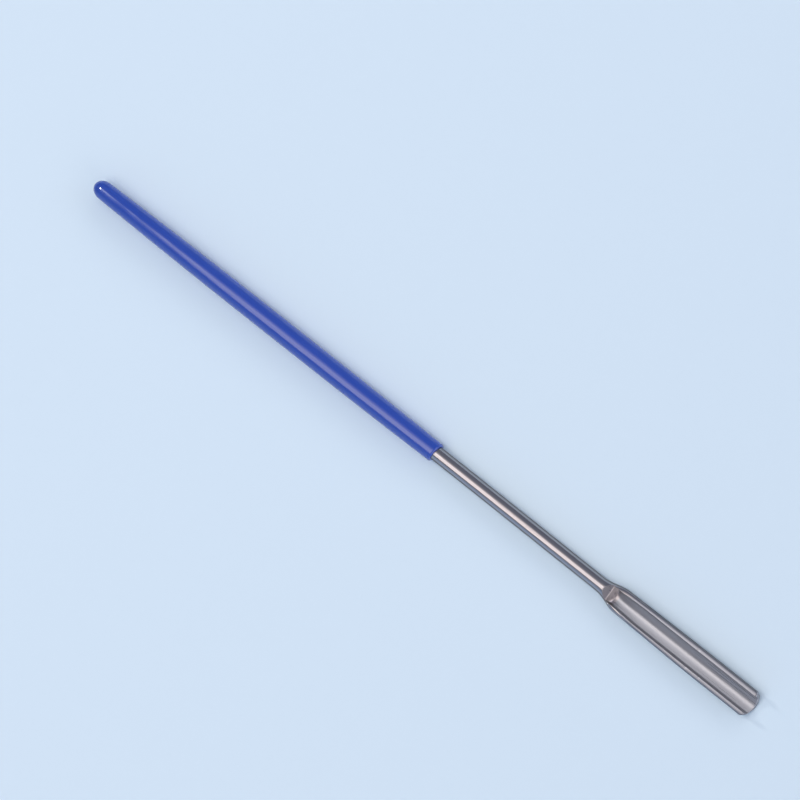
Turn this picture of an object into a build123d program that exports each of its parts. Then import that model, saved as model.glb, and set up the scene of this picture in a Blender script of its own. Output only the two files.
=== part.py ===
from build123d import *
import os
from math import asin, atan, copysign, cos, degrees, pi, radians, sin, tan

# Lab spatula: one round steel rod whose end is flared and pressed into an open trough,
# with a closed vinyl sleeve over the other end as its handle.
# Millimetres. It lies as it rests on a table: the scoop points to +X, its trough opens to +Z,
# and the origin is under the middle of its outline, on the table.

# Whole tool
overall_length = 230.0
sleeve_length = 122.0
scoop_length = 50.0

# Rod
rod_diameter = 4.0
rod_end_chamfer = 0.4

# Vinyl sleeve, drawn on the rod so that its lip stops short of the bare stretch
sleeve_clearance = 0.01
tip_wall = 3.2
tip_gap = 0.3
tip_diameter = 5.2
tip_dome_length = 3.4
tip_taper_length = 52.0
grip_diameter = 6.16
collar_taper_length = 43.5
collar_diameter = 5.5
lip_radius = 0.55
mouth_radius = 0.12

# Outside of the scoop: widths where the flare ends and where the trough is full,
# and how far the widest level rises above the rod's axis at each
flare_lead = 2.0
flare_length = 7.6
flare_width = 6.8
flare_rise = 0.45
widening_length = 36.0
scoop_width = 7.6
scoop_rise = 0.9
rim_squareness = 5.0

# Trough pressed into it
trough_width = 5.0
trough_floor_width = 4.3
floor_thickness = 1.1
floor_crown_radius = 3.2
floor_corner_radius = 1.3
rim_below_rod_top = 0.05
lip_slope_deg = 24.0
lip_slope_length = 1.8
ramp_slope_deg = 57.0
crease_radius = 0.5

# Scoop end: a shallow arc in plan with round corners, and rims that round off from the side
end_arc_radius = 7.5
end_corner_radius = 1.5
rim_end_radius = 1.2

# How the skin of the scoop is drawn, and how far the cutting shapes run past the metal
section_spacing = 2.5
section_points = 32
blank_lead = 3.0
overrun = 5.0
side_clearance = 0.06
tilt_steps = 6

rod_radius = rod_diameter / 2
scoop_start = overall_length - scoop_length
flare_start = scoop_start - flare_lead
blank_start = flare_start - blank_lead
rim_height = rod_radius - rim_below_rod_top
floor_height = floor_thickness - rod_radius


def ease(x, start, length):
    """Share of a change that is done at x: 0 up to start, 1 past start + length, smooth between."""
    t = min(max((x - start) / length, 0), 1)
    return t * t * (3 - 2 * t)


def rod_section(x):
    """The round rod's section at x."""
    return Plane(origin=(x, 0, 0), x_dir=(0, 1, 0), z_dir=(1, 0, 0)) * Circle(rod_radius)


def scoop_section(x):
    """Closed outline across the tool at x, round at the rod and flat-topped at the full width.

    Its underside stays level with the rod's underside, and its top comes down to the rims.
    """
    flared = ease(x, flare_start, flare_length)
    widened = ease(x, flare_start, widening_length)
    half = rod_radius + (flare_width / 2 - rod_radius) * flared + (scoop_width - flare_width) / 2 * widened
    rise = flare_rise * flared + (scoop_rise - flare_rise) * widened
    above = rod_radius + (rim_height - scoop_rise - rod_radius) * widened
    squareness = 2 + (rim_squareness - 2) * widened
    outline = []
    for i in range(section_points):
        angle = 2 * pi * i / section_points
        across, up = cos(angle), sin(angle)
        if i <= section_points // 2:
            y = copysign(abs(across) ** (2 / squareness), across)
            z = rise + above * max(up, 0) ** (2 / squareness)
        else:
            y = across
            z = rise + (rod_radius + rise) * up
        outline.append((x, half * y, z))
    steps = [float(i) for i in range(section_points + 1)]
    return make_face(Edge.make_spline(outline, periodic=True, parameters=steps))


def scoop_blank():
    """The flared end of the rod before the trough is pressed, a skin that starts as the rod's circle."""
    length = overall_length + overrun - blank_start
    count = round(length / section_spacing)
    sections = [rod_section(blank_start)]
    sections += [scoop_section(blank_start + length * i / count) for i in range(1, count + 1)]
    return loft(sections)


def trough_tool():
    """What the press takes out: a round-cornered channel that starts with a two-step ramp."""
    top = rod_radius + overrun
    slope = (trough_width - trough_floor_width) / 2 / (rim_height - floor_height)
    top_half = trough_width / 2 + slope * (top - rim_height)
    floor_half = trough_floor_width / 2
    crown = floor_crown_radius - (floor_crown_radius**2 - floor_half**2) ** 0.5
    left, right = (-floor_half, floor_height + crown), (floor_half, floor_height + crown)
    floor = ThreePointArc(left, (0, floor_height), right)
    walls = Polyline(right, (top_half, top), (-top_half, top), left)
    channel = make_face([floor, walls])
    corners = channel.vertices().sort_by(Axis.Y)[:2]
    channel = fillet(corners, floor_corner_radius)
    across = Plane(origin=(blank_start, 0, 0), x_dir=(0, 1, 0), z_dir=(1, 0, 0))
    channel = extrude(across * channel, overall_length + overrun - blank_start)

    lip_slope = tan(radians(lip_slope_deg))
    lead = (blank_start, rod_radius + (scoop_start - blank_start) * lip_slope)
    crease = (scoop_start + lip_slope_length, rod_radius - lip_slope_length * lip_slope)
    ramp_depth = crease[1] + rod_radius + overrun
    ramp_foot = (crease[0] + ramp_depth / tan(radians(ramp_slope_deg)), crease[1] - ramp_depth)
    far = overall_length + overrun
    outline = Polyline(
        lead,
        crease,
        ramp_foot,
        (far, ramp_foot[1]),
        (far, top),
        (blank_start, top),
        close=True,
    )
    side = make_face(outline)
    side = fillet(side.vertices().sort_by_distance((*crease, 0))[0], crease_radius)
    side = extrude(Plane.XZ * side, trough_width + overrun, both=True)
    return channel & side


def end_outline():
    """What the trimmed scoop keeps: a round-cornered arc in plan, and round rim ends from the side."""
    side_y = scoop_width / 2 + side_clearance
    corner_y = side_y - end_corner_radius
    nose_x = overall_length - end_arc_radius
    reach = end_arc_radius - end_corner_radius
    corner_x = nose_x + (reach**2 - corner_y**2) ** 0.5
    turn = asin(corner_y / reach)
    meet_x = nose_x + end_arc_radius * cos(turn)
    meet_y = end_arc_radius * sin(turn)
    half_turn = (turn + pi / 2) / 2
    middle_x = corner_x + end_corner_radius * cos(half_turn)
    middle_y = corner_y + end_corner_radius * sin(half_turn)
    nose = ThreePointArc((meet_x, -meet_y), (overall_length, 0), (meet_x, meet_y))
    left = ThreePointArc((meet_x, meet_y), (middle_x, middle_y), (corner_x, side_y))
    right = ThreePointArc((meet_x, -meet_y), (middle_x, -middle_y), (corner_x, -side_y))
    back = Polyline((corner_x, side_y), (0, side_y), (0, -side_y), (corner_x, -side_y))
    plan = extrude(make_face([nose, left, right, back]), 2 * overrun, both=True)
    top, bottom = rod_radius + overrun, -rod_radius - overrun
    round_x, round_z = overall_length - rim_end_radius, rim_height - rim_end_radius
    rim_end = RadiusArc((overall_length, round_z), (round_x, rim_height), -rim_end_radius)
    around = Polyline(
        (round_x, rim_height),
        (round_x, top),
        (0, top),
        (0, bottom),
        (overall_length, bottom),
        (overall_length, round_z),
    )
    side = make_face([rim_end, around])
    side = extrude(Plane.XZ * side, scoop_width, both=True)
    return plan & side


def scoop_rod():
    """The steel piece: the rod, its flared end and the trough."""
    rod_start = tip_wall + tip_gap
    rod = extrude(rod_section(rod_start), blank_start - rod_start)
    rod = chamfer(rod.edges().sort_by(Axis.X)[0], rod_end_chamfer)
    scoop = scoop_blank() - trough_tool()
    scoop = scoop & end_outline()
    return rod + scoop


def handle_sleeve():
    """The vinyl sleeve: a closed dome at the tip, a long barrel and a rolled lip at the collar."""
    bore = rod_radius + sleeve_clearance
    tip, grip, collar = tip_diameter / 2, grip_diameter / 2, collar_diameter / 2
    collar_start = sleeve_length - collar_taper_length
    tip_end = tip_dome_length + tip_taper_length
    dome = EllipticalCenterArc((tip_dome_length, 0), tip_dome_length, tip, start_angle=90, arc_size=90)
    tip_bend, collar_bend = (tip_dome_length + tip_end) / 2, (collar_start + sleeve_length) / 2
    tip_taper = Bezier((tip_dome_length, tip), (tip_bend, grip), (tip_end, grip))
    barrel = Line((tip_end, grip), (collar_start, grip))
    collar_taper = Bezier((collar_start, grip), (collar_bend, grip), (sleeve_length, collar))
    bore_outline = (sleeve_length, bore), (tip_wall, bore), (tip_wall, 0), (0, 0)
    inside = Polyline((sleeve_length, collar), *bore_outline)
    half = make_face([dome, tip_taper, barrel, collar_taper, inside])
    lip = half.vertices().sort_by_distance((sleeve_length, collar, 0))[0]
    half = fillet(lip, lip_radius)
    mouth = half.vertices().sort_by_distance((sleeve_length, bore, 0))[0]
    half = fillet(mouth, mouth_radius)
    return revolve(Plane.XZ * half, Axis.X)


def rest_tilt(steel, sleeve):
    """Angle in degrees, scoop end down, at which the scoop and the sleeve both touch the table."""
    tilt = 0.0
    for _ in range(tilt_steps):
        turn = Rot(0, tilt, 0)
        gap = (turn * steel).bounding_box().min.Z - (turn * sleeve).bounding_box().min.Z
        tilt += degrees(atan(gap / (overall_length - sleeve_length)))
    return tilt


os.makedirs("parts", exist_ok=True)
steel = scoop_rod()
sleeve = handle_sleeve()
tilt = rest_tilt(steel, sleeve)
whole = (Rot(0, tilt, 0) * Compound([steel, sleeve])).bounding_box()
rest = Pos(-whole.center().X, -whole.center().Y, -whole.min.Z) * Rot(0, tilt, 0)
export_step(rest * steel, "parts/scoop_rod.step")
export_step(rest * sleeve, "parts/handle_sleeve.step")
print("tilt", round(tilt, 4), "size", whole.size, "volumes", round(steel.volume, 1), round(sleeve.volume, 1))
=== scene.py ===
"""Looks of a lab spatula: a steel rod pressed into a scoop at one end, with a blue vinyl handle sleeve.

Shapes are worked out in the tool's own frame, in millimetres: x runs from the handle's tip to the
scoop's end, y points to the tool's left side, and z is up from the rod's axis. RestPose turns them
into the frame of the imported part, in metres.
"""

import logging
import math
from dataclasses import dataclass, field
from enum import Enum

import bpy
import numpy as np
from mathutils import Matrix, Vector


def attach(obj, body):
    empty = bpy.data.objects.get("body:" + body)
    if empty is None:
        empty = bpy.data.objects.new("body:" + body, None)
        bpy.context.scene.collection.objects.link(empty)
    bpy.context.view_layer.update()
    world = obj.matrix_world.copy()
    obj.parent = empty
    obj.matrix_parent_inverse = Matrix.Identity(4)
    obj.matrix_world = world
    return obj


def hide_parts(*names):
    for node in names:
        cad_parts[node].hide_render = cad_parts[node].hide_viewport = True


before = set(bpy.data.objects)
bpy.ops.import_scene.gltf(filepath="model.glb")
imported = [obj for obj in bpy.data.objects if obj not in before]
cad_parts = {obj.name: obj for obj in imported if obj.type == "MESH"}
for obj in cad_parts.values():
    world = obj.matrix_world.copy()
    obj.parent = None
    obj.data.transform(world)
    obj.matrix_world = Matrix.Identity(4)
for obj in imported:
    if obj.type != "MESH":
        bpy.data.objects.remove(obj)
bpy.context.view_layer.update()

MM = 0.001
BODY = "root"

# Noise textures keep mostly between these two values, so a range spread over them is used in full.
NOISE_LOW, NOISE_HIGH = 0.3, 0.7
# The sockets of a Mix node for colours, several of which share a name.
MIX_SHARE, MIX_FROM, MIX_TO, MIX_OUT = 0, 6, 7, 2
# Indoor light: a little warm, so that the shadows, which only the room lights, turn out bluer.
WARM_WHITE = "#FFF4EA"

Faces = list[tuple[int, ...]]
Point = tuple[float, float]
Node, NodeTree, Socket = bpy.types.Node, bpy.types.NodeTree, bpy.types.NodeSocket

log = logging.getLogger("lab_spatula")


class SteelZone(Enum):
    """Which finish a face of the steel has. The value is the place of its material on the mesh."""

    POLISHED = 0
    BRUSHED = 1
    LINISHED = 2
    STRUCK = 3


class Side(Enum):
    """A side of the tool, as the sign of y."""

    LEFT = 1.0
    RIGHT = -1.0


def linear(hex_colour: str) -> tuple[float, float, float, float]:
    """Turn an sRGB hex colour into linear RGBA.

    Args:
        hex_colour: six hex digits, with or without a leading hash.

    Returns:
        Linear red, green, blue and an alpha of 1.
    """
    digits = hex_colour.lstrip("#")
    channels = [int(digits[i : i + 2], 16) / 255 for i in (0, 2, 4)]
    bent = [c / 12.92 if c <= 0.04045 else ((c + 0.055) / 1.055) ** 2.4 for c in channels]
    return (bent[0], bent[1], bent[2], 1.0)


def add_node(
    tree: NodeTree,
    kind: str,
    settings: dict[str | int, object] | None = None,
    links: dict[str | int, Socket] | None = None,
) -> Node:
    """Add one node, with its settings and the sockets that feed it.

    Args:
        tree: the node tree that gets the node.
        kind: the node's type, such as "ShaderNodeTexNoise".
        settings: a property's name, or an input's name or number, to its value.
        links: an input's name or number to the output socket that feeds it.

    Returns:
        The new node.
    """
    node = tree.nodes.new(kind)
    for key, value in (settings or {}).items():
        if isinstance(key, str) and hasattr(node, key):
            setattr(node, key, value)
        else:
            node.inputs[key].default_value = value
    for key, socket in (links or {}).items():
        tree.links.new(socket, node.inputs[key])
    return node


def new_material(name: str) -> tuple[bpy.types.Material, NodeTree, Node]:
    """Start a material with a bare Principled surface.

    Args:
        name: what the material is called.

    Returns:
        The material, its node tree and its Principled node.
    """
    material = bpy.data.materials.new(name)
    material.use_nodes = True
    tree = material.node_tree
    tree.nodes.clear()
    surface = add_node(tree, "ShaderNodeBsdfPrincipled")
    add_node(tree, "ShaderNodeOutputMaterial", links={"Surface": surface.outputs["BSDF"]})
    return material, tree, surface


def drawn_out_noise(
    tree: NodeTree, length_mm: float, spacing_mm: float, detail: float, roughness: float = 0.5
) -> Socket:
    """Add noise that is drawn out along the tool, as tool marks and ripples are.

    Args:
        tree: the material's node tree.
        length_mm: how long its marks are.
        spacing_mm: how far apart they lie.
        detail: how many finer layers it has.
        roughness: how strong the finer layers are.

    Returns:
        The socket that carries it.
    """
    place = add_node(tree, "ShaderNodeTexCoord")
    across = 1 / (spacing_mm * MM)
    scale = {"Scale": (1 / (length_mm * MM), across, across)}
    drawn = add_node(tree, "ShaderNodeMapping", scale, {"Vector": place.outputs["Object"]})
    settings = {"Scale": 1.0, "Detail": detail, "Roughness": roughness}
    return add_node(tree, "ShaderNodeTexNoise", settings, {"Vector": drawn.outputs[0]}).outputs["Fac"]


def vary_surface(
    tree: NodeTree, surface: Node, gloss: tuple[Socket, float, float], relief: tuple[Socket, float]
) -> None:
    """Make a surface's gloss uneven and raise its marks.

    Args:
        tree: the material's node tree.
        surface: its Principled node.
        gloss: a noise, and the least and the most roughness that it gives.
        relief: a noise, and how high its marks stand, in millimetres.
    """
    noise, least, most = gloss
    span = {"From Min": NOISE_LOW, "From Max": NOISE_HIGH, "To Min": least, "To Max": most}
    rough = add_node(tree, "ShaderNodeMapRange", span, {"Value": noise})
    tree.links.new(rough.outputs[0], surface.inputs["Roughness"])
    height, depth_mm = relief
    bump = add_node(tree, "ShaderNodeBump", {"Strength": 1.0, "Distance": depth_mm * MM}, {"Height": height})
    tree.links.new(bump.outputs[0], surface.inputs["Normal"])


def ease(x: np.ndarray | float, start: float, length: float) -> np.ndarray:
    """Share of a change that is done at x.

    Args:
        x: where along the tool, in millimetres.
        start: where the change starts.
        length: how long it takes.

    Returns:
        0 up to start, 1 past start + length, and smooth between.
    """
    t = np.clip((np.asarray(x, float) - start) / length, 0, 1)
    return t * t * (3 - 2 * t)


def smoothed(line: np.ndarray, width: float, closed: bool) -> np.ndarray:
    """Round the corners of a line of evenly spaced points.

    Args:
        line: points, one row each.
        width: standard deviation of the smoothing, in steps between points.
        closed: whether the last point joins the first.

    Returns:
        As many points. The two ends of an open line stay where they are.
    """
    reach = max(1, int(4 * width))
    weights = np.exp(-0.5 * (np.arange(-reach, reach + 1) / width) ** 2)
    weights /= weights.sum()
    if closed:
        padded = np.concatenate([line[-reach:], line, line[:reach]])
    else:
        before = 2 * line[0] - line[reach:0:-1]
        after = 2 * line[-1] - line[-2 : -reach - 2 : -1]
        padded = np.concatenate([before, line, after])
    return np.stack([np.convolve(padded[:, i], weights, "valid") for i in range(line.shape[1])], axis=1)


def along(line: np.ndarray, shares: np.ndarray) -> np.ndarray:
    """Points at given shares of a line's length.

    Args:
        line: points, one row each.
        shares: from 0 at the first point to 1 at the last.

    Returns:
        One point for each share.
    """
    steps = np.hypot(*np.diff(line, axis=0).T)
    run = np.concatenate([[0], np.cumsum(steps)])
    return np.stack([np.interp(shares * run[-1], run, line[:, i]) for i in range(2)], axis=1)


def arc(centre: np.ndarray | Point, radius: float, turns: Point, count: int) -> np.ndarray:
    """Points on a circle, between two angles in radians."""
    turn = np.linspace(*turns, count)
    return np.array(centre) + radius * np.stack([np.cos(turn), np.sin(turn)], axis=1)


@dataclass(frozen=True)
class RestPose:
    """How the straight tool lies on the table: on its sleeve and on the underside of its scoop."""

    overall_length: float = 230.0
    sleeve_length: float = 122.0
    steps: int = 8

    def matrix(self, steel: np.ndarray, sleeve: np.ndarray) -> np.ndarray:
        """Find the turn and the shift that bring both pieces down on the table.

        Args:
            steel: the steel's points, in the tool's frame.
            sleeve: the sleeve's points, in the tool's frame.

        Returns:
            A 4 by 4 matrix from the tool's frame, in millimetres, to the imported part's, in metres.
        """
        tilt = 0.0
        for _ in range(self.steps):
            turn = np.array(Matrix.Rotation(tilt, 3, "Y"))
            gap = (steel @ turn.T)[:, 2].min() - (sleeve @ turn.T)[:, 2].min()
            tilt += math.atan(gap / (self.overall_length - self.sleeve_length))
        turn = np.array(Matrix.Rotation(tilt, 3, "Y"))
        both = np.concatenate([steel, sleeve]) @ turn.T
        low, high = both.min(axis=0), both.max(axis=0)
        place = np.eye(4)
        place[:3, :3] = turn * MM
        place[:3, 3] = [-(low[0] + high[0]) / 2 * MM, 0.0, -low[2] * MM]
        log.info("the tool rests with its scoop end %.3f degrees down", math.degrees(tilt))
        return place


@dataclass(frozen=True)
class Bow:
    """The slight bend of the used tool at its collar, which leaves its tip and its scoop where they were."""

    at: float = 126.0
    depth: float = 0.25
    softness: float = 12.0
    straight_from: float = 208.0

    def bend(self, loops: list[np.ndarray]) -> None:
        """Push loops of points to the left, the most at the collar.

        Args:
            loops: points in the tool's frame, changed in place.
        """
        for loop in loops:
            away = np.hypot(loop[:, 0] - self.at, self.softness) - self.softness
            span = np.where(loop[:, 0] < self.at, self.at, self.straight_from - self.at) - self.softness
            loop[:, 1] += self.depth * np.clip(1 - away / span, 0, 1)


@dataclass
class LoopMesh:
    """A skin of closed loops with as many points each, one after the other along the tool."""

    name: str
    loops: list[np.ndarray] = field(default_factory=list)
    zones: list[list[int]] = field(default_factory=list)

    def points(self) -> np.ndarray:
        """All points, in the tool's frame."""
        return np.concatenate(self.loops)

    def build(self, place: np.ndarray, first_cap: Faces, last_cap: Faces) -> bpy.types.Object:
        """Make the mesh object.

        Args:
            place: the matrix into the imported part's frame.
            first_cap: faces that close the first loop, as places in that loop.
            last_cap: faces that close the last loop.

        Returns:
            The new object, smooth shaded, at the origin.
        """
        count = len(self.loops[0])
        points = self.points() @ place[:3, :3].T + place[:3, 3]
        faces, zones = [], []
        for i in range(len(self.loops) - 1):
            for j in range(count):
                k = (j + 1) % count
                faces.append((i * count + j, i * count + k, (i + 1) * count + k, (i + 1) * count + j))
                zones.append(self.zones[i][j])
        last = (len(self.loops) - 1) * count
        for corners in first_cap:
            faces.append(tuple(reversed(corners)))
            zones.append(self.zones[0][corners[0]])
        for corners in last_cap:
            faces.append(tuple(last + c for c in corners))
            zones.append(self.zones[-1][corners[0]])
        mesh = bpy.data.meshes.new(self.name)
        mesh.from_pydata(points.tolist(), [], faces)
        mesh.polygons.foreach_set("material_index", zones)
        mesh.polygons.foreach_set("use_smooth", [True] * len(faces))
        mesh.validate()
        piece = bpy.data.objects.new(self.name, mesh)
        bpy.context.scene.collection.objects.link(piece)
        return piece


@dataclass(frozen=True)
class Nick:
    """A small knock in a rim of the scoop, which pushes the metal down and some of it inwards."""

    x: float
    side: Side
    depth: float
    length: float
    reach: float = 0.45
    inward_share: float = 0.5


@dataclass
class ScoopRod:
    """The steel piece: a round rod whose end is flared, pressed into an open trough and trimmed."""

    overall_length: float = 230.0
    scoop_length: float = 49.4
    rod_diameter: float = 4.0
    rod_start: float = 3.5
    rod_end_chamfer: float = 0.4
    flare_lead: float = 2.0
    flare_length: float = 7.6
    flare_width: float = 6.8
    flare_rise: float = 0.45
    widening_length: float = 36.0
    scoop_width: float = 7.6
    scoop_rise: float = 0.9
    rim_squareness: float = 5.0
    trough_width: float = 5.15
    trough_floor_width: float = 5.03
    floor_thickness: float = 1.1
    floor_crown_radius: float = 3.9
    floor_corner_radius: float = 0.3
    rim_below_rod_top: float = 0.05
    lip_slope_deg: float = 24.0
    lip_slope_length: float = 1.8
    ramp_slope_deg: float = 57.0
    crease_softness: float = 0.05
    foot_softness: float = 0.3
    corner_softness: float = 0.12
    edge_softness: float = 0.055
    end_arc_radius: float = 7.5
    end_corner_radius: float = 1.5
    rim_end_radius: float = 1.2
    end_edge_radius: float = 0.12
    side_clearance: float = 0.06

    # The finish and the hand work: lands ground on the rims, and where the ramp's finish ends
    land_share: float = 0.17
    land_start: float = 185.0
    land_lead: float = 9.0
    struck_length: float = 2.2

    # How the rims flatten after the neck, and how the trough widens and its floor turns uneven
    flattening_lead: float = 2.0
    flattening_length: float = 8.0
    start_narrowing: float = 0.12
    narrowing_lead: float = 3.5
    narrowing_length: float = 9.0
    wearing_length: float = 4.0
    # Slope of the real floor, z over y, at places y across it: lowest a little to the right
    floor_slopes: tuple[tuple[float, float], ...] = (
        (-2.4, -0.27),
        (-1.5, -0.27),
        (-1.0, -0.2),
        (-0.5, -0.06),
        (-0.1, 0.17),
        (0.16, 0.29),
        (0.42, 0.38),
        (0.9, 0.41),
        (1.3, 0.43),
        (1.8, 0.54),
        (2.4, 1.05),
    )
    nicks: tuple[Nick, ...] = (
        Nick(210.1, Side.RIGHT, 0.06, 0.45),
        Nick(214.4, Side.RIGHT, 0.06, 0.3),
        Nick(210.3, Side.LEFT, 0.05, 0.4),
    )

    # How finely a section is drawn
    headroom: float = 5.0
    corner_points: int = 60
    crown_points: int = 80
    below_points: int = 240
    above_points: int = 360
    slope_points: int = 241
    fewest_points: int = 60
    least_half_trough: float = 0.3
    beyond_skin: float = -9.0
    fine_step: float = 0.01
    half_count: int = 46
    crowding: float = 1.5

    # How far apart the sections are, and where they stay close
    rod_spacing: float = 8.0
    flare_margin: float = 1.0
    flare_spacing: float = 0.3
    lip_margins: tuple[float, float] = (0.1, 0.4)
    lip_spacing: float = 0.035
    ramp_length: float = 2.6
    ramp_spacing: float = 0.075
    foot_length: float = 5.0
    foot_spacing: float = 0.2
    scoop_spacing: float = 0.5
    nicked_from: float = 208.6
    nicked_to: float = 216.0
    nick_spacing: float = 0.12
    end_length: float = 4.0
    end_sections: int = 14
    end_edge_sections: int = 5

    def __post_init__(self) -> None:
        """Work out the sizes that follow from the others."""
        self.radius = self.rod_diameter / 2
        self.scoop_start = self.overall_length - self.scoop_length
        self.flare_start = self.scoop_start - self.flare_lead
        self.rim_height = self.radius - self.rim_below_rod_top
        self.floor_height = self.floor_thickness - self.radius
        self.channel = self.channel_profile()

    def channel_profile(self) -> np.ndarray:
        """Draw half of the trough's section: a wall, a round corner and a crowned floor.

        Returns:
            Points (y, z) from above the left rim down to the middle of the floor.
        """
        top = self.radius + self.headroom
        slope = (self.trough_width - self.trough_floor_width) / 2 / (self.rim_height - self.floor_height)
        floor_half = self.trough_floor_width / 2
        crown_centre = np.array([0.0, self.floor_height + self.floor_crown_radius])
        foot_z = crown_centre[1] - math.sqrt(self.floor_crown_radius**2 - floor_half**2)
        foot = np.array([floor_half, foot_z])
        head = np.array([self.trough_width / 2 + slope * (top - self.rim_height), top])
        up = (head - foot) / np.linalg.norm(head - foot)
        inward = np.array([-up[1], up[0]])
        start = foot + inward * self.floor_corner_radius
        offset = start - crown_centre
        reach = self.floor_crown_radius - self.floor_corner_radius
        half_b = offset @ up
        climb = -half_b - math.sqrt(half_b**2 - offset @ offset + reach**2)
        centre = start + up * climb
        on_crown = (centre - crown_centre) / np.linalg.norm(centre - crown_centre)
        turn_from = math.atan2(-inward[1], -inward[0])
        turn_to = math.atan2(on_crown[1], on_crown[0])
        corner = arc(centre, self.floor_corner_radius, (turn_from, turn_to), self.corner_points)
        crown = arc(crown_centre, self.floor_crown_radius, (turn_to, -math.pi / 2), self.crown_points)
        return np.concatenate([[head], corner, crown[1:]])

    def ramp_height(self, x: float) -> float:
        """Height of the two-step ramp that starts the trough.

        Args:
            x: where along the tool.

        Returns:
            The height above the rod's axis, without regard to the floor.
        """
        lip = math.tan(math.radians(self.lip_slope_deg))
        steep = math.tan(math.radians(self.ramp_slope_deg))
        crease_x = self.scoop_start + self.lip_slope_length
        crease_z = self.radius - self.lip_slope_length * lip
        first = self.radius - (x - self.scoop_start) * lip
        second = crease_z - (x - crease_x) * steep
        return (first + second - math.hypot(first - second, self.crease_softness)) / 2

    def skin(self, x: float) -> np.ndarray:
        """Draw the left half of the outside across the tool.

        Args:
            x: where along the tool.

        Returns:
            Points (y, z) from the middle of the underside to the middle of the top.
        """
        flared = ease(x, self.flare_start, self.flare_length)
        widened = ease(x, self.flare_start, self.widening_length)
        half = self.radius + (self.flare_width / 2 - self.radius) * flared
        half += (self.scoop_width - self.flare_width) / 2 * widened
        rise = self.flare_rise * flared + (self.scoop_rise - self.flare_rise) * widened
        flattened = ease(x, self.flare_start + self.flattening_lead, self.flattening_length)
        above = self.radius + (self.rim_height - rise - self.radius) * flattened
        power = 2 / (2 + (self.rim_squareness - 2) * flattened)
        below = np.linspace(-math.pi / 2, 0, self.below_points, endpoint=False)
        over = np.linspace(0, math.pi / 2, self.above_points)
        lower = np.stack([half * np.cos(below), rise + (self.radius + rise) * np.sin(below)], axis=1)
        wide, high = np.clip(np.cos(over), 0, 1) ** power, np.sin(over) ** power
        upper = np.stack([half * wide, rise + above * high], axis=1)
        return np.concatenate([lower, upper])

    def cut(self, x: float) -> np.ndarray:
        """Draw the left half of what the press leaves: the trough, or the ramp where it is higher.

        Args:
            x: where along the tool.

        Returns:
            Points (y, z) from above the rim to the middle of the trough.
        """
        narrowed = 1 - ease(x, self.scoop_start + self.narrowing_lead, self.narrowing_length)
        line = self.channel * [1 - self.start_narrowing * float(narrowed), 1]
        ramp, soft = self.ramp_height(x), self.foot_softness
        line[:, 1] = (line[:, 1] + ramp + np.hypot(line[:, 1] - ramp, soft)) / 2
        line[:, 1] -= (np.hypot(self.floor_height - ramp, soft) - abs(self.floor_height - ramp)) / 2
        line = np.concatenate([line, line[-2::-1] * [-1, 1]])
        length = np.hypot(*np.diff(line, axis=0).T).sum()
        count = int(length / self.fine_step)
        line = along(line, np.linspace(0, 1, count))
        line = smoothed(line, self.corner_softness / self.fine_step, closed=False)
        return line[: count // 2 + 1]

    def half_section(self, x: float) -> tuple[np.ndarray, float]:
        """Left half of the section at x, and where on it the trough starts.

        Args:
            x: where along the tool.

        Returns:
            Evenly spaced points from the middle of the underside, over the rim, to the middle of the
            trough or of the rod's top, and the share of that line at which the rim's inner edge lies.
        """
        skin = self.skin(x)
        widest = int(np.argmax(skin[:, 0]))
        top_y, top_z = skin[widest:, 0][::-1], skin[widest:, 1][::-1]
        cut = self.cut(x)[::-1]
        room = np.interp(cut[:, 0], top_y, top_z, right=self.beyond_skin) - cut[:, 1]
        outside = np.nonzero(room < 0)[0]
        met = outside[0] if len(outside) else len(cut) - 1
        if met == 0 or cut[met, 0] < self.least_half_trough:
            on_top = np.arange(len(skin)) >= widest
            edge = np.argmax(on_top & (skin[:, 0] < self.least_half_trough))
            outer, inner = skin[: edge + 1], skin[edge:]
        else:
            share = room[met - 1] / (room[met - 1] - room[met])
            meet = cut[met - 1] + share * (cut[met] - cut[met - 1])
            keep = (np.arange(len(skin)) < widest) | (skin[:, 0] > meet[0])
            outer = np.concatenate([skin[keep], [meet]])
            inner = np.concatenate([[meet], cut[:met][::-1]])
        outer_length = np.hypot(*np.diff(outer, axis=0).T).sum()
        inner_length = np.hypot(*np.diff(inner, axis=0).T).sum()
        whole = np.concatenate([outer, inner[1:]])
        count = max(self.fewest_points, int((outer_length + inner_length) / self.fine_step))
        return along(whole, np.linspace(0, 1, count)), outer_length / (outer_length + inner_length)

    def section(self, x: float) -> np.ndarray:
        """Closed section at x, the same number of points for every x.

        Args:
            x: where along the tool.

        Returns:
            Points (y, z): from the left rim's inner edge down to the middle of the trough, up to the
            right rim's, round the outside past the middle of the underside and back.
        """
        half, edge = self.half_section(x)
        full = np.concatenate([half, half[-2:0:-1] * [-1, 1]])
        full = smoothed(full, self.edge_softness / self.fine_step, closed=True)
        half = full[: len(half)]
        half[0, 0] = half[-1, 0] = 0.0
        crowd = np.linspace(0, 1, self.half_count + 1) ** self.crowding
        inner = along(half, edge + (1 - edge) * crowd)
        outer = along(half, edge * (1 - crowd))
        mirror = np.array([-1, 1])
        pressed = np.concatenate([inner[:-1], inner[:0:-1] * mirror])
        pressed[:, 1] += self.worn_in(x) * self.unevenness(pressed)
        return np.concatenate([pressed, outer[:-1] * mirror, outer[:0:-1]])

    def worn_in(self, x: float) -> float:
        """Share of the trough's uneven floor that is there at x."""
        return float(ease(x, self.scoop_start + self.lip_slope_length, self.wearing_length))

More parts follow.
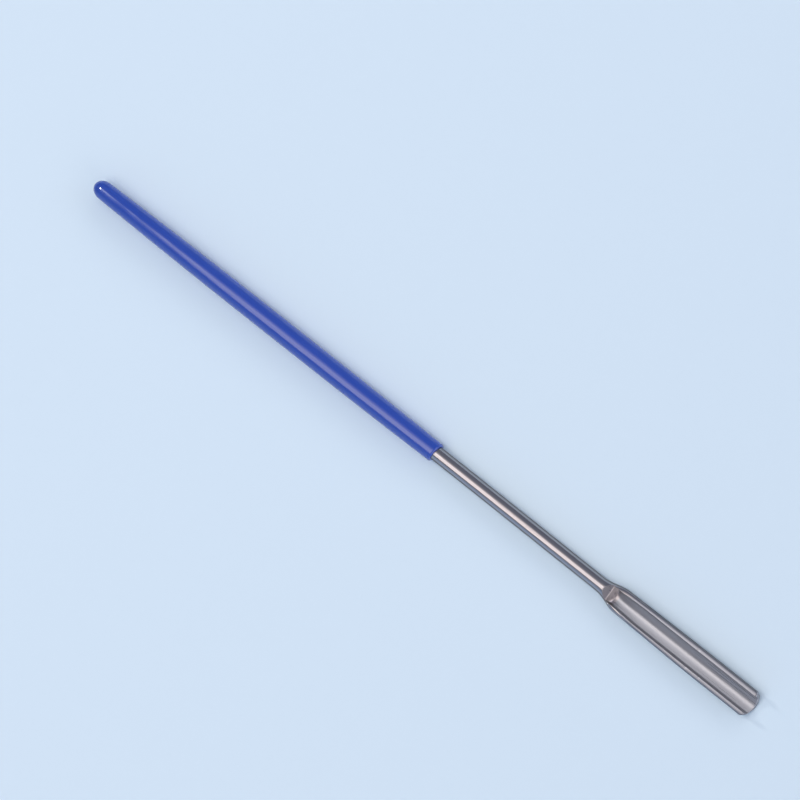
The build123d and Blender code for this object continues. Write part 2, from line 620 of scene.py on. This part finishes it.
    def unevenness(self, pressed: np.ndarray) -> np.ndarray:
        """How far the real trough's floor lies above or below an even one.

        Args:
            pressed: points (y, z) of the even trough.

        Returns:
            The change of height of each point, none at the rims.
        """
        across = pressed[:, 0] / pressed[0, 0] * self.trough_width / 2
        side = np.linspace(self.floor_slopes[0][0], self.floor_slopes[-1][0], self.slope_points)
        slopes = np.interp(side, *np.array(self.floor_slopes).T)
        steps = (slopes[1:] + slopes[:-1]) / 2 * np.diff(side)
        real = np.concatenate([[0], np.cumsum(steps)])
        real -= np.interp(0, side, real)
        even = self.floor_crown_radius - np.sqrt(self.floor_crown_radius**2 - side**2)
        corner_z = self.floor_height + even[0]
        share = np.clip((self.rim_height - pressed[:, 1]) / (self.rim_height - corner_z), 0, 1)
        return np.interp(across, side, real - even) * share

    def end_reach(self, section: np.ndarray) -> np.ndarray:
        """How far each point of the scoop's section reaches: a shallow arc with round corners.

        Args:
            section: points (y, z) of the full scoop.

        Returns:
            The x at which the end face cuts each of them.
        """
        across = np.abs(section[:, 0])
        side_y = self.scoop_width / 2 + self.side_clearance
        corner_y = side_y - self.end_corner_radius
        nose_x = self.overall_length - self.end_arc_radius
        reach = self.end_arc_radius - self.end_corner_radius
        corner_x = nose_x + math.sqrt(reach**2 - corner_y**2)
        meet_y = self.end_arc_radius * corner_y / reach
        nose = nose_x + np.sqrt(np.maximum(self.end_arc_radius**2 - across**2, 0))
        past = np.clip(across - corner_y, 0, self.end_corner_radius)
        corner = corner_x + np.sqrt(self.end_corner_radius**2 - past**2)
        plan = np.where(across <= meet_y, nose, corner)
        over = np.clip(section[:, 1] - (self.rim_height - self.rim_end_radius), 0, self.rim_end_radius)
        rim = self.overall_length - self.rim_end_radius + np.sqrt(self.rim_end_radius**2 - over**2)
        return np.minimum(plan, rim)

    def stations(self) -> np.ndarray:
        """Choose where sections are taken, closer together where the form changes fast.

        Returns:
            Places along the tool, from the rod's hidden end to the start of the scoop's end.
        """
        flare = self.flare_start - self.flare_margin
        lip_from, lip_to = self.scoop_start - self.lip_margins[0], self.scoop_start + self.lip_margins[1]
        foot = self.scoop_start + self.lip_slope_length + self.ramp_length
        runs = (
            (self.rod_start + self.rod_end_chamfer, flare, self.rod_spacing),
            (flare, lip_from, self.flare_spacing),
            (lip_from, lip_to, self.lip_spacing),
            (lip_to, foot, self.ramp_spacing),
            (foot, foot + self.foot_length, self.foot_spacing),
            (foot + self.foot_length, self.nicked_from, self.scoop_spacing),
            (self.nicked_from, self.nicked_to, self.nick_spacing),
            (self.nicked_to, self.overall_length - self.end_length, self.scoop_spacing),
        )
        return np.concatenate([np.arange(*run) for run in runs])

    def knocked(self, loop: np.ndarray) -> np.ndarray:
        """Push the nicks into a loop's rims.

        Args:
            loop: points (x, y, z) of one section.

        Returns:
            The same points, those near a nick a little lower and further in.
        """
        moved = loop.copy()
        for nick in self.nicks:
            near_x = np.exp(-(((loop[:, 0] - nick.x) / nick.length) ** 2))
            edge = np.array([nick.side.value * self.trough_width / 2, self.rim_height])
            apart = np.hypot(*(loop[:, 1:] - edge).T)
            push = nick.depth * near_x * np.exp(-((apart / nick.reach) ** 2))
            moved[:, 2] -= push
            moved[:, 1] -= nick.inward_share * nick.side.value * push
        return moved

    def skin_mesh(self) -> LoopMesh:
        """Make all loops of the steel.

        Returns:
            The skin, from the hidden end of the rod to the scoop's end face.
        """
        mesh = LoopMesh("scoop_rod_steel")
        start = self.rod_start
        first = self.section(start)
        shrink = (self.radius - self.rod_end_chamfer) / self.radius
        mesh.loops.append(self.lifted(first * shrink, start))
        for x in self.stations():
            mesh.loops.append(self.knocked(self.lifted(self.section(x), x)))
        last_x = self.overall_length - self.end_length
        full = self.section(last_x)
        reach = self.end_reach(full)
        for share in np.linspace(0, 1, self.end_sections):
            x = last_x + (reach - self.end_edge_radius - last_x) * share
            mesh.loops.append(self.lifted(full, x))
        across = np.roll(full, -1, axis=0) - np.roll(full, 1, axis=0)
        tangent = across / np.linalg.norm(across, axis=1)[:, None]
        inward = np.stack([-tangent[:, 1], tangent[:, 0]], axis=1)
        for turn in np.linspace(0, math.pi / 2, self.end_edge_sections)[1:]:
            inset = self.end_edge_radius * (1 - math.cos(turn))
            x = reach - self.end_edge_radius * (1 - math.sin(turn))
            mesh.loops.append(self.lifted(full + inward * inset, x))
        mesh.zones = [self.strip_zones(float(loop[:, 0].mean())) for loop in mesh.loops[1:]]
        return mesh

    def strip_zones(self, x: float) -> list[int]:
        """Finishes round the tool at x.

        Args:
            x: where along the tool.

        Returns:
            The zone of each face of a strip between two sections.
        """
        around = 2 * self.half_count
        share = self.land_share * float(ease(x, self.land_start, self.land_lead))
        land = int(self.half_count * share ** (1 / self.crowding))
        foot = self.scoop_start + self.lip_slope_length + self.struck_length
        pressed = SteelZone.STRUCK if x < foot else SteelZone.BRUSHED
        on_land = [min(k, around - 1 - k) < land for k in range(around)]
        outside = [SteelZone.LINISHED if ground else SteelZone.POLISHED for ground in on_land]
        return [zone.value for zone in [pressed] * around + outside]

    @staticmethod
    def lifted(section: np.ndarray, x: np.ndarray | float) -> np.ndarray:
        """Put a section's points (y, z) at x along the tool."""
        return np.column_stack([np.broadcast_to(x, len(section)), section])

    def caps(self) -> tuple[Faces, Faces]:
        """Close both ends with strips of faces that run between the left and the right half.

        Returns:
            Faces for the rod's hidden end and for the scoop's U-shaped end, as places in their loops.
        """
        half = self.half_count
        count = 4 * half
        pairs = [(k, (count - k) % count) for k in range(half + 1)]
        right = [(2 * half - k, 2 * half + k) for k in range(half + 1)]
        strip = []
        for line in (pairs, right):
            for (a, b), (c, d) in zip(line, line[1:]):
                corners = (a, c, d, b) if line is pairs else (a, b, d, c)
                strip.append(tuple(dict.fromkeys(corners)))
        return strip, strip


@dataclass
class HandleSleeve:
    """The vinyl piece: a closed, domed tube that swells to the grip and tapers to a rolled lip."""

    length: float = 122.3
    bore_diameter: float = 4.02
    tip_wall: float = 3.2
    tip_diameter: float = 5.2
    tip_dome_length: float = 3.4
    tip_taper_length: float = 52.0
    grip_diameter: float = 6.16
    collar_taper_length: float = 43.5
    collar_diameter: float = 5.5
    lip_radius: float = 0.55
    mouth_radius: float = 0.12
    around: int = 160
    waviness: float = 0.005
    mouth_slant: float = 0.1
    slant_length: float = 6.0
    bore_rings: tuple[float, ...] = (1.0, 6.0)
    bore_end_radius: float = 0.4

    # How finely the outline is drawn
    dome_points: int = 40
    taper_points: int = 28
    barrel_spacing: float = 2.0
    lip_points: int = 12
    mouth_points: int = 6

    # The waves of the soft outside: where they come in and go, as a place and a length each, and how
    # long they are, divided by 2 pi
    waves_from: Point = (2.0, 12.0)
    waves_to: Point = (-8.0, 6.0)
    wall_margin: float = 0.3
    long_wave: float = 7.3
    twist: float = 19.0
    short_wave: float = 3.1
    short_share: float = 0.6

    def outline(self) -> np.ndarray:
        """Draw the outline that is turned round the axis.

        Returns:
            Points (x, r) from the dome's tip over the lip and into the bore.
        """
        tip, grip, collar = self.tip_diameter / 2, self.grip_diameter / 2, self.collar_diameter / 2
        bore = self.bore_diameter / 2
        quarter = np.linspace(0, math.pi / 2, self.dome_points)
        dome = np.stack([self.tip_dome_length * (1 - np.cos(quarter)), tip * np.sin(quarter)], axis=1)
        dome_end, taper_end = self.tip_dome_length, self.tip_dome_length + self.tip_taper_length
        tip_taper = self.curve((dome_end, tip), ((dome_end + taper_end) / 2, grip), (taper_end, grip))
        taper_from = self.length - self.collar_taper_length
        collar_bend = (taper_from + self.length) / 2
        collar_taper = self.curve((taper_from, grip), (collar_bend, grip), (self.length, collar))
        collar_taper = collar_taper[collar_taper[:, 0] < self.length - self.lip_radius]
        barrel_x = np.arange(taper_end, taper_from, self.barrel_spacing)
        barrel = np.stack([barrel_x, np.full(len(barrel_x), grip)], axis=1)
        lip_centre = (self.length - self.lip_radius, collar_taper[-1, 1] - self.lip_radius)
        lip = arc(lip_centre, self.lip_radius, (math.pi / 2, 0), self.lip_points)
        mouth_centre = (self.length - self.mouth_radius, bore + self.mouth_radius)
        mouth = arc(mouth_centre, self.mouth_radius, (0, -math.pi / 2), self.mouth_points)
        inside = [(self.length - depth, bore) for depth in self.bore_rings]
        inside += [(self.tip_wall, bore), (self.tip_wall, self.bore_end_radius)]
        return np.concatenate([dome[1:], tip_taper[1:], barrel[1:], collar_taper, lip, mouth, inside])

    def curve(self, start: Point, middle: Point, end: Point) -> np.ndarray:
        """A quadratic curve from start to end that leaves and arrives towards middle."""
        t = np.linspace(0, 1, self.taper_points)[:, None]
        return (1 - t) ** 2 * np.array(start) + 2 * t * (1 - t) * np.array(middle) + t**2 * np.array(end)

    def skin_mesh(self) -> LoopMesh:
        """Make all loops of the sleeve, with the slight unevenness of soft vinyl on its outside.

        Returns:
            The skin, from the dome's tip over the lip to the blind end of the bore.
        """
        mesh = LoopMesh("handle_sleeve_vinyl")
        turn = np.linspace(0, 2 * math.pi, self.around, endpoint=False)
        bore = self.bore_diameter / 2
        for x, r in self.outline():
            coming = ease(x, *self.waves_from)
            going = ease(x, self.length + self.waves_to[0], self.waves_to[1])
            fade = float(coming * (1 - going)) if r > bore + self.wall_margin else 0.0
            swell = np.sin(x / self.long_wave) * np.cos(2 * turn + x / self.twist)
            swell += self.short_share * np.sin(x / self.short_wave + 3 * turn)
            radius = r - self.waviness * fade * (1 + self.short_share + swell)
            slant = self.mouth_slant * float(ease(x, self.length - self.slant_length, self.slant_length))
            y, z = radius * np.cos(turn), radius * np.sin(turn)
            mesh.loops.append(np.column_stack([x + slant * y, y, z]))
        mesh.zones = [[0] * self.around for _ in mesh.loops[1:]]
        return mesh

    def caps(self) -> tuple[Faces, Faces]:
        """Faces that close the dome's tip and the blind end of the bore."""
        return [tuple(range(self.around))], [tuple(range(self.around))]


@dataclass(frozen=True)
class DrawnSteel:
    """Stainless steel rod, drawn and then polished along its length.

    The eye sees a sharp bright band down the rod, broken by fine dark lines that run the length.
    """

    colour: str = "#A7A3A5"
    roughness: float = 0.13
    smoother_by: float = 0.05
    rougher_by: float = 0.06
    # Painted shade: a dark tint at glancing angles that stands in for the shadowed floor the rod's edges
    # mirror
    edge_tint: float = 0.05
    line_spacing_mm: float = 0.35
    line_length_mm: float = 60.0
    line_depth_mm: float = 0.0012
    line_detail: float = 4.0
    line_contrast: float = 0.6

    def material(self) -> bpy.types.Material:
        """Build the material.

        Returns:
            The finish of the round rod and of the scoop's outside.
        """
        material, tree, surface = new_material("stainless_steel_drawn_and_polished")
        surface.inputs["Base Color"].default_value = linear(self.colour)
        surface.inputs["Metallic"].default_value = 1.0
        # A dark tint at glancing angles is painted shade: it darkens the rod's edges, which mirror the
        # shadowed floor beside them.
        surface.inputs["Specular Tint"].default_value = (*[self.edge_tint] * 3, 1.0)
        size = (self.line_length_mm, self.line_spacing_mm)
        lines = drawn_out_noise(tree, *size, self.line_detail, self.line_contrast)
        gloss = (lines, self.roughness - self.smoother_by, self.roughness + self.rougher_by)
        vary_surface(tree, surface, gloss, (lines, self.line_depth_mm))
        return material


@dataclass(frozen=True)
class BrushedSteel:
    """Stainless steel brushed along the tool with fine grit, as left in the pressed trough.

    The eye sees a soft pale sheen that spreads across the brushing, with thin streaks along it.
    The grit's true scratches, about 0.02 mm apart, are too fine to show, so they are drawn coarser.
    """

    name: str = "stainless_steel_pressed_and_brushed"
    colour: str = "#A4A6AD"
    streak_shade: float = 0.86
    metallic: float = 0.62
    roughness: float = 0.3
    smoother_by: float = 0.05
    rougher_by: float = 0.08
    edge_tint: float = 0.6
    scratch_spacing_mm: float = 0.09
    scratch_length_mm: float = 9.0
    scratch_depth_mm: float = 0.007
    streak_spacing_mm: float = 0.5
    streak_length_mm: float = 25.0
    detail: float = 3.0

    def material(self) -> bpy.types.Material:
        """Build the material.

        Returns:
            The finish, whose streaks vary its colour and gloss and whose scratches stand in relief.
        """
        material, tree, surface = new_material(self.name)
        surface.inputs["Metallic"].default_value = self.metallic
        surface.inputs["Specular Tint"].default_value = (*[self.edge_tint] * 3, 1.0)
        scratches = drawn_out_noise(tree, self.scratch_length_mm, self.scratch_spacing_mm, self.detail)
        streaks = drawn_out_noise(tree, self.streak_length_mm, self.streak_spacing_mm, self.detail)
        base = linear(self.colour)
        dark = (*[c * self.streak_shade for c in base[:3]], 1.0)
        shades = {"data_type": "RGBA", MIX_FROM: dark, MIX_TO: base}
        tint = add_node(tree, "ShaderNodeMix", shades, {MIX_SHARE: streaks})
        tree.links.new(tint.outputs[MIX_OUT], surface.inputs["Base Color"])
        gloss = (streaks, self.roughness - self.smoother_by, self.roughness + self.rougher_by)
        vary_surface(tree, surface, gloss, (scratches, self.scratch_depth_mm))
        return material


# The rims, ground flat on a fine belt: a blurred, slightly grey line of light along each.
LINISHED_RIM = BrushedSteel(
    name="stainless_steel_linished_rim",
    colour="#8C8D94",
    metallic=1.0,
    roughness=0.36,
    scratch_depth_mm=0.004,
    scratch_spacing_mm=0.12,
    streak_spacing_mm=0.25,
)
# The ramp, as the press struck it and never brushed: two plain, dull facets with a sharp crease.
STRUCK_RAMP = BrushedSteel(
    name="stainless_steel_struck_ramp",
    colour="#A6A1A4",
    metallic=0.86,
    roughness=0.3,
    scratch_depth_mm=0.0005,
)


@dataclass(frozen=True)
class DippedVinyl:
    """Soft PVC, dipped or moulded over the rod, coloured right through.

    The eye sees a deep ultramarine with a soft, slightly wavering band of gloss.
    """

    colour: str = "#1E44A6"
    deep_shade: tuple[float, float, float] = (0.9, 0.92, 0.95)
    ior: float = 1.58
    roughness: float = 0.16
    roughness_spread: float = 0.04
    coat: float = 0.4
    coat_roughness: float = 0.05
    ripple_size_mm: float = 2.2
    ripple_length_mm: float = 8.8
    ripple_depth_mm: float = 0.004
    ripple_detail: float = 2.0

    def material(self) -> bpy.types.Material:
        """Build the material.

        Returns:
            The finish of the sleeve, with ripples that stir its colour, its gloss and its relief.
        """
        material, tree, surface = new_material("blue_pvc_dipped")
        surface.inputs["IOR"].default_value = self.ior
        surface.inputs["Coat Weight"].default_value = self.coat
        surface.inputs["Coat Roughness"].default_value = self.coat_roughness
        ripples = drawn_out_noise(tree, self.ripple_length_mm, self.ripple_size_mm, self.ripple_detail)
        base = linear(self.colour)
        deep = (*[c * shade for c, shade in zip(base, self.deep_shade)], 1.0)
        shades = {"data_type": "RGBA", MIX_FROM: deep, MIX_TO: base}
        tint = add_node(tree, "ShaderNodeMix", shades, {MIX_SHARE: ripples})
        tree.links.new(tint.outputs[MIX_OUT], surface.inputs["Base Color"])
        gloss = (ripples, self.roughness - self.roughness_spread, self.roughness + self.roughness_spread)
        vary_surface(tree, surface, gloss, (ripples, self.ripple_depth_mm))
        return material


@dataclass(frozen=True)
class PaleBoard:
    """Matt pale-blue board, which shows the eye soft shadows and nothing else."""

    colour: str = "#CDE1F0"
    size_m: float = 8.0
    roughness: float = 0.9
    shine: float = 0.1

    def build(self) -> None:
        """Make the floor."""
        half = self.size_m / 2
        corners = [(-half, -half, 0), (half, -half, 0), (half, half, 0), (-half, half, 0)]
        mesh = bpy.data.meshes.new("floor")
        mesh.from_pydata(corners, [], [(0, 1, 2, 3)])
        floor = bpy.data.objects.new("floor", mesh)
        bpy.context.scene.collection.objects.link(floor)
        material, _, surface = new_material("pale_blue_matt_board")
        surface.inputs["Base Color"].default_value = linear(self.colour)
        surface.inputs["Roughness"].default_value = self.roughness
        surface.inputs["Specular IOR Level"].default_value = self.shine
        mesh.materials.append(material)


@dataclass(frozen=True)
class Softbox:
    """A rectangular lamp, placed by where it stands and stated by how bright its face is.

    One that isn't mirrored doesn't show in the metal or the vinyl, and one that isn't on_matt shows
    only there.
    """

    name: str
    place: tuple[float, float, float]
    size: tuple[float, float]
    radiance: float
    colour: str = "#FFFFFF"
    aim: tuple[float, float, float] | None = None
    fade_from: float = 1.0
    fade_power: float = 2.8
    mirrored: bool = True
    on_matt: bool = True

    def build(self) -> None:
        """Make the lamp, facing its aim, or straight down without one."""
        lamp = bpy.data.lights.new(self.name, "AREA")
        lamp.shape = "RECTANGLE"
        lamp.size, lamp.size_y = self.size
        lamp.energy = self.radiance * math.pi * self.size[0] * self.size[1]
        lamp.color = linear(self.colour)[:3]
        if self.fade_from < 1:
            self.fade(lamp)
        lamp_object = bpy.data.objects.new(self.name, lamp)
        lamp_object.location = self.place
        lamp_object.visible_glossy = self.mirrored
        lamp_object.visible_diffuse = self.on_matt
        if self.aim is not None:
            away = Vector(self.place) - Vector(self.aim)
            lamp_object.rotation_euler = away.to_track_quat("Z", "Y").to_euler()
        bpy.context.scene.collection.objects.link(lamp_object)

    def fade(self, lamp: bpy.types.Light) -> None:
        """Let the lamp's face grow dim towards one edge, as cloth does far from its bulb.

        Args:
            lamp: the lamp, which gets a node tree.
        """
        lamp.use_nodes = True
        tree = lamp.node_tree
        tree.nodes.clear()
        face = add_node(tree, "ShaderNodeNewGeometry")
        across = add_node(tree, "ShaderNodeSeparateXYZ", links={0: face.outputs["Parametric"]})
        span = {"From Min": self.fade_from, "From Max": 1.0, "To Min": 1.0, "To Max": 0.0}
        left = add_node(tree, "ShaderNodeMapRange", span, {"Value": across.outputs["Y"]})
        power = {"operation": "POWER", 1: self.fade_power}
        share = add_node(tree, "ShaderNodeMath", power, {0: left.outputs[0]})
        shine = add_node(tree, "ShaderNodeEmission", links={"Strength": share.outputs[0]})
        add_node(tree, "ShaderNodeOutputLight", links={"Surface": shine.outputs[0]})


@dataclass(frozen=True)
class Glow:
    """A soft brighter patch of the room, which the metal and the vinyl mirror."""

    direction: tuple[float, float, float]
    inner_deg: float
    outer_deg: float
    colour: tuple[float, float, float]

    def add(self, tree: NodeTree, facing: Socket, below: Socket) -> Socket:
        """Add this patch to a colour.

        Args:
            tree: the world's node tree.
            facing: the direction of view as a vector.
            below: the colour that the patch is added to.

        Returns:
            The socket of the sum.
        """
        aim = Vector(self.direction).normalized()
        near = add_node(tree, "ShaderNodeVectorMath", {"operation": "DOT_PRODUCT", 1: aim}, {0: facing})
        edge = {
            "interpolation_type": "SMOOTHSTEP",
            "From Min": math.cos(math.radians(self.outer_deg)),
            "From Max": math.cos(math.radians(self.inner_deg)),
        }
        share = add_node(tree, "ShaderNodeMapRange", edge, {"Value": near.outputs["Value"]})
        patch = {"data_type": "RGBA", "blend_type": "ADD", MIX_TO: (*self.colour, 1.0)}
        sources = {MIX_SHARE: share.outputs[0], MIX_FROM: below}
        return add_node(tree, "ShaderNodeMix", patch, sources).outputs[MIX_OUT]


@dataclass(frozen=True)
class Studio:
    """Plain soft studio light in a grey-blue room.

    A large softbox overhead draws the bright bands along the tool. A lamp past the handle, a bounce off
    the ceiling and a fill from the left light only what is matt, and soften the shadows. The small lamp
    puts the dot on the sleeve's dome. The glows are pale parts of the room that the metal mirrors.
    """

    room: tuple[float, float, float] = (0.245, 0.272, 0.35)
    behind_colour: str = "#CDDEF1"
    glows: tuple[Glow, ...] = (
        Glow((0.0, -1.0, 0.0), 12.0, 54.0, (0.31, 0.46, 0.66)),
        Glow((0.98, -0.1, 0.2), 14.0, 34.0, (2.3, 2.1, 2.0)),
        Glow((0.73, 0.56, 0.38), 6.0, 18.0, (2.8, 2.8, 3.0)),
    )
    lamps: tuple[Softbox, ...] = (
        Softbox(
            "overhead_softbox",
            (-0.235, 0.21, 1.14),
            (0.67, 2.0),
            2.42,
            WARM_WHITE,
            fade_from=0.38,
            fade_power=3.3,
        ),
        Softbox(
            "far_lamp",
            (-3.28, 0.08, 2.28),
            (0.4, 0.4),
            55.0,
            WARM_WHITE,
            aim=(0, 0, 0),
            mirrored=False,
        ),
        Softbox("ceiling_bounce", (0.0, 0.5, 2.0), (1.7, 1.7), 0.85, WARM_WHITE, mirrored=False),
        Softbox("fill", (0.0, 2.2, 1.2), (2.5, 1.0), 1.5, WARM_WHITE, aim=(0, 0, 0), mirrored=False),
        Softbox("small_lamp", (-0.834, 0.09, 1.08), (0.08, 0.08), 700.0, aim=(-0.115, 0, 0), on_matt=False),
    )

    def build(self) -> None:
        """Make the lamps and the room."""
        for lamp in self.lamps:
            lamp.build()
        world = bpy.data.worlds.new("grey_room")
        bpy.context.scene.world = world
        world.use_nodes = True
        tree = world.node_tree
        tree.nodes.clear()
        place = add_node(tree, "ShaderNodeTexCoord")
        colour = add_node(tree, "ShaderNodeRGB")
        colour.outputs[0].default_value = (*self.room, 1.0)
        light = colour.outputs[0]
        for glow in self.glows:
            light = glow.add(tree, place.outputs["Generated"], light)
        room = add_node(tree, "ShaderNodeBackground", {"Strength": 1.0}, {"Color": light})
        backdrop = {"Color": linear(self.behind_colour), "Strength": 1.0}
        behind = add_node(tree, "ShaderNodeBackground", backdrop)
        path = add_node(tree, "ShaderNodeLightPath")
        sources = {0: path.outputs["Is Camera Ray"], 1: room.outputs[0], 2: behind.outputs[0]}
        seen = add_node(tree, "ShaderNodeMixShader", links=sources)
        add_node(tree, "ShaderNodeOutputWorld", links={"Surface": seen.outputs[0]})


@dataclass(frozen=True)
class PhotoCamera:
    """The photograph's view: from high up, past the scoop's end, with a long lens."""

    distance: float = 1.217
    focal_px: float = 4655.0
    image_px: float = 800.0
    toward_scoop: float = 0.32
    toward_left: float = 0.16
    axis_fall_deg: float = 38.523
    subject: tuple[float, float, float] = (-0.0098, 0.0, 0.003)
    centre_right_mm: float = 3.4
    centre_up_mm: float = 4.02
    sensor_mm: float = 36.0
    clip_start_m: float = 0.05
    clip_end_m: float = 50.0

    def build(self) -> None:
        """Make the scene's camera."""
        up_share = math.sqrt(1 - self.toward_scoop**2 - self.toward_left**2)
        back = Vector((self.toward_scoop, self.toward_left, up_share))
        tool = (Vector((1, 0, 0)) - back * back.x).normalized()
        beside = back.cross(tool)
        fall = math.radians(self.axis_fall_deg)
        right = math.cos(fall) * tool + math.sin(fall) * beside
        up = back.cross(right)
        subject = Vector(self.subject)
        place = subject + back * self.distance
        centre = subject + right * self.centre_right_mm * MM + up * self.centre_up_mm * MM
        back = (place - centre).normalized()
        right = (right - back * right.dot(back)).normalized()
        up = back.cross(right)
        data = bpy.data.cameras.new("photo_camera")
        data.sensor_width = self.sensor_mm
        data.lens = self.focal_px / self.image_px * self.sensor_mm
        data.clip_start = self.clip_start_m
        data.clip_end = self.clip_end_m
        camera = bpy.data.objects.new("photo_camera", data)
        camera.matrix_world = Matrix((right, up, back)).transposed().to_4x4()
        camera.location = place
        bpy.context.scene.collection.objects.link(camera)
        bpy.context.scene.camera = camera


@dataclass
class LabSpatula:
    """The whole tool: the steel and the sleeve, built, placed at rest and dressed."""

    steel: ScoopRod = field(default_factory=ScoopRod)
    sleeve: HandleSleeve = field(default_factory=HandleSleeve)
    rest: RestPose = RestPose()
    bow: Bow = Bow()
    rod_finish: DrawnSteel = DrawnSteel()
    trough_finish: BrushedSteel = BrushedSteel()
    rim_finish: BrushedSteel = LINISHED_RIM
    ramp_finish: BrushedSteel = STRUCK_RAMP
    sleeve_finish: DippedVinyl = DippedVinyl()

    def build(self) -> list[bpy.types.Object]:
        """Make both pieces.

        Returns:
            The steel and the sleeve, each riding on the part's body in place of its CAD node.
        """
        steel, sleeve = self.steel.skin_mesh(), self.sleeve.skin_mesh()
        place = self.rest.matrix(steel.points(), sleeve.points())
        self.bow.bend(steel.loops)
        self.bow.bend(sleeve.loops)
        steel_piece = steel.build(place, *self.steel.caps())
        for finish in (self.rod_finish, self.trough_finish, self.rim_finish, self.ramp_finish):
            steel_piece.data.materials.append(finish.material())
        sleeve_piece = sleeve.build(place, *self.sleeve.caps())
        sleeve_piece.data.materials.append(self.sleeve_finish.material())
        for piece, node, slot in (
            (steel_piece, "scoop_rod", "stainless_steel"),
            (sleeve_piece, "handle_sleeve", "blue_vinyl"),
        ):
            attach(piece, BODY)
            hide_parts(node)
        return [steel_piece, sleeve_piece]


def main() -> None:
    """Build the tool, the floor, the lights and the camera."""
    logging.basicConfig(level=logging.INFO, format="%(name)s: %(message)s")
    bpy.context.scene.view_settings.view_transform = "Standard"
    for piece in LabSpatula().build():
        finishes = ", ".join(material.name for material in piece.data.materials)
        log.info("%s: %d faces in %s", piece.name, len(piece.data.polygons), finishes)
    PaleBoard().build()
    Studio().build()
    PhotoCamera().build()


if __name__ == "__main__":
    main()
